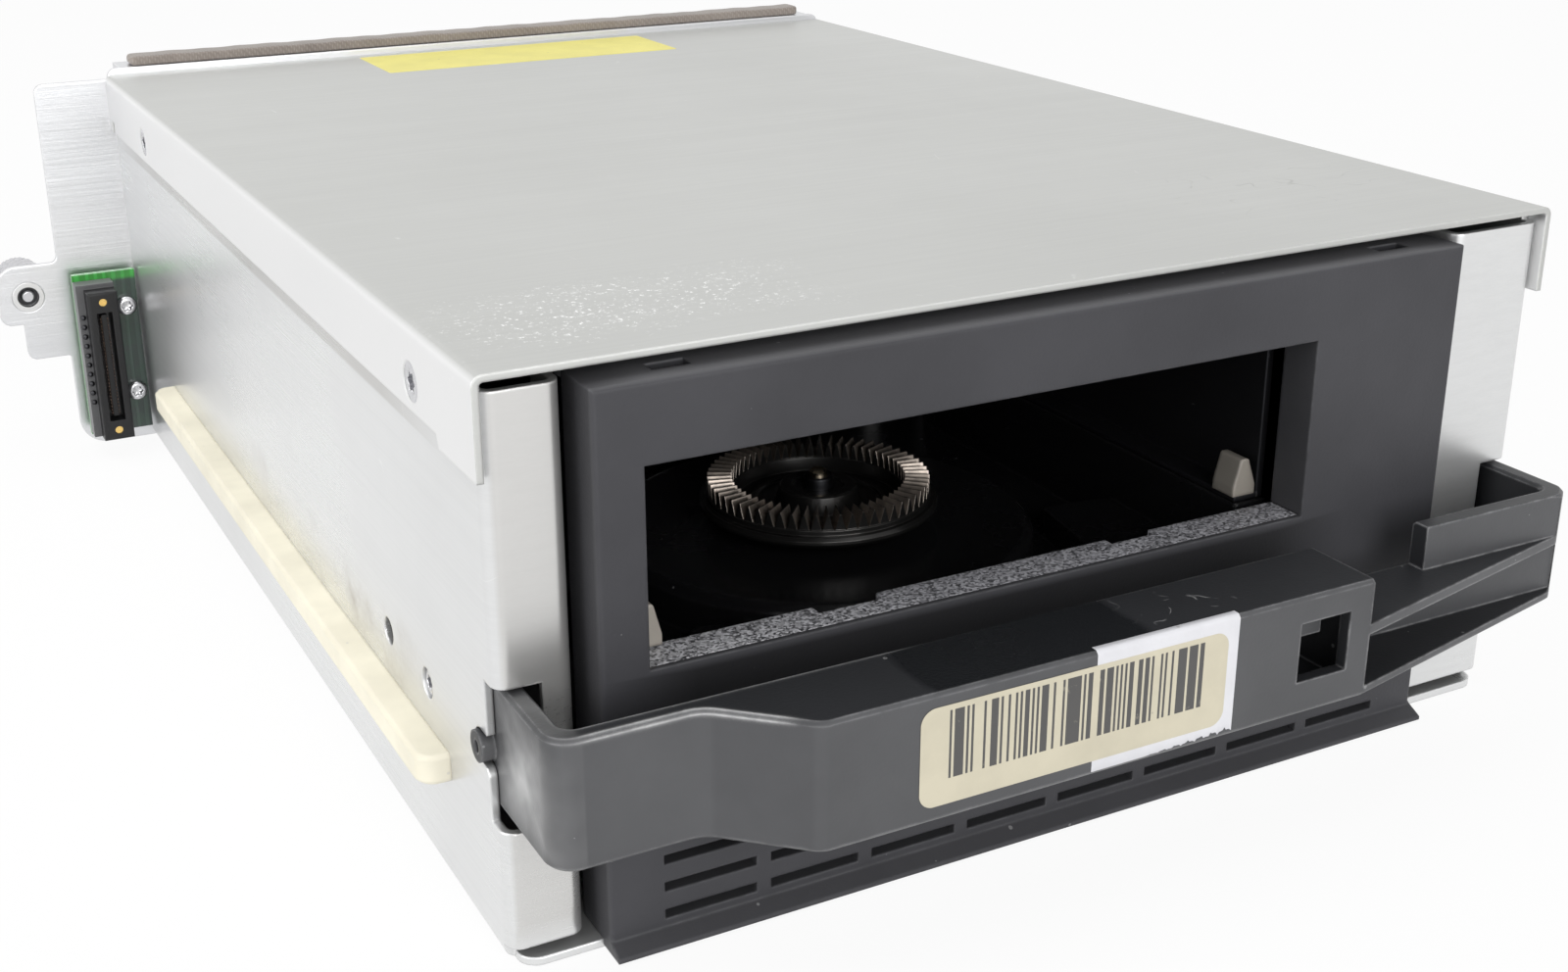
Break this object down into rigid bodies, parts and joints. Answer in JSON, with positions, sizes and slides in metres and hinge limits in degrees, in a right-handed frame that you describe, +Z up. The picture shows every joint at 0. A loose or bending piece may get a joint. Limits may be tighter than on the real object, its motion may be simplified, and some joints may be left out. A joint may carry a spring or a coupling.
{
  "type": "data tape drive",
  "caption": "Full-height cartridge tape drive in a hot-swap sheet-metal canister with a pull handle across its front and a docking connector beside its back.",
  "frame": {"origin": "middle of the canister's underside, halfway along the top cover and halfway between its side walls", "axes": "+X to the right seen from the front, +Y from the front to the back, +Z up"},
  "size_m": [0.2143, 0.283, 0.0886],
  "materials": {
    "shell_steel": "light satin galvanised sheet with fine scratches",
    "fastener_steel": "bright zinc",
    "bezel_plastic": "charcoal, fine grain",
    "sill_plastic": "charcoal, coarse speckled grain",
    "handle_plastic": "charcoal, satin with worn edges",
    "bracket_plastic": "black",
    "nylon": "cream, satin",
    "rear_aluminium": "brushed",
    "gasket_cloth": "woven conductive cloth over foam",
    "board_green": "green solder mask",
    "connector_black": "black moulding",
    "contact_gold": "gold plated",
    "port_shell": "plated port shell",
    "deck_metal": "dark grey casting",
    "receiver_metal": "dark coated sheet",
    "shaft_steel": "ground steel",
    "gear_plastic": "dark grey moulding",
    "reel_plastic": "smoke grey moulding",
    "motor_core": "laminated core",
    "fan_black": "black",
    "head_ceramic": "polished ceramic"
  },
  "bodies": {
    "canister": {"chassis_shell": "shell_steel", "top_cover": "shell_steel", "cover_screws": "fastener_steel", "front_bezel": "bezel_plastic", "slot_sill": "sill_plastic", "pull_handle": "handle_plastic", "handle_screws": "fastener_steel", "side_brackets": "bracket_plastic", "side_rail_left": "nylon", "side_rail_right": "nylon", "rear_plate": "rear_aluminium", "rear_plate_screws": "fastener_steel", "emi_gasket": "gasket_cloth", "captive_bush": "fastener_steel", "docking_board": "board_green", "board_standoffs": "fastener_steel", "board_screws": "fastener_steel", "docking_connector": "connector_black", "docking_contacts": "contact_gold", "port_shells": "port_shell", "port_inserts": "connector_black", "port_jackscrews": "fastener_steel", "fan_frame": "fan_black", "fan_screws": "fastener_steel", "deck_casting": "deck_metal", "deck_lid": "receiver_metal", "drive_mount_screws": "fastener_steel", "logic_board": "board_green", "logic_board_screws": "fastener_steel", "spindle_sleeves": "shaft_steel", "motor_stators": "motor_core", "guide_pins": "shaft_steel", "head_guide_rods": "shaft_steel", "head_stepper": "deck_metal"},
    "receiver": {"cartridge_receiver": "receiver_metal", "receiver_guides": "nylon"},
    "drive_hub": {"drive_hub_gear": "gear_plastic", "hub_shaft": "shaft_steel", "hub_rotor": "shaft_steel"},
    "reel": {"take_up_reel": "reel_plastic", "reel_shaft": "shaft_steel", "reel_rotor": "shaft_steel"},
    "roller_1": {"guide_roller_1": "gear_plastic"},
    "roller_2": {"guide_roller_2": "gear_plastic"},
    "roller_3": {"guide_roller_3": "gear_plastic"},
    "roller_4": {"guide_roller_4": "gear_plastic"},
    "fan_wheel": {"fan_impeller": "fan_black"},
    "thumbscrew": {"captive_thumbscrew": "fastener_steel"},
    "lead": {"lead_screw": "shaft_steel"},
    "head": {"head_carriage": "receiver_metal", "tape_head": "head_ceramic"}
  },
  "joints": [
    {"name": "receiver_slide", "type": "slide", "parent": "canister", "child": "receiver", "axis": [0, 1, 0], "range_m": [0, 0.014]},
    {"name": "hub_spin", "type": "hinge", "parent": "canister", "child": "drive_hub", "pos_m": [-0.0144, -0.0685, 0.035], "axis": [0, 0, 1], "continuous": true},
    {"name": "take_up_spin", "type": "hinge", "parent": "canister", "child": "reel", "pos_m": [-0.02, 0.0305, 0.045], "axis": [0, 0, 1], "continuous": true},
    {"name": "roller_1_spin", "type": "hinge", "parent": "canister", "child": "roller_1", "pos_m": [0.04945, -0.02323, 0.049], "axis": [0, 0, 1], "continuous": true},
    {"name": "roller_2_spin", "type": "hinge", "parent": "canister", "child": "roller_2", "pos_m": [0.05788, -0.00921, 0.049], "axis": [0, 0, 1], "continuous": true},
    {"name": "roller_3_spin", "type": "hinge", "parent": "canister", "child": "roller_3", "pos_m": [0.05788, 0.00821, 0.049], "axis": [0, 0, 1], "continuous": true},
    {"name": "roller_4_spin", "type": "hinge", "parent": "canister", "child": "roller_4", "pos_m": [0.04945, 0.02223, 0.049], "axis": [0, 0, 1], "continuous": true},
    {"name": "fan_spin", "type": "hinge", "parent": "canister", "child": "fan_wheel", "pos_m": [0.042, 0.1135, 0.042], "axis": [0, 1, 0], "continuous": true},
    {"name": "captive_screw_turn", "type": "hinge", "parent": "canister", "child": "thumbscrew", "pos_m": [-0.1133, 0.1285, 0.037], "axis": [0, 1, 0], "continuous": true},
    {"name": "lead_screw_turn", "type": "hinge", "parent": "canister", "child": "lead", "pos_m": [0.0345, -0.0005, 0.048], "axis": [0, 0, 1], "range_deg": [0, 720]},
    {"name": "head_lift", "type": "slide", "parent": "canister", "child": "head", "axis": [0, 0, 1], "range_m": [0, 0.006]}
  ],
  "couplings": [
    {"joint": "lead_screw_turn", "follows": "head_lift", "rad_per_m": 2094.4}
  ]
}
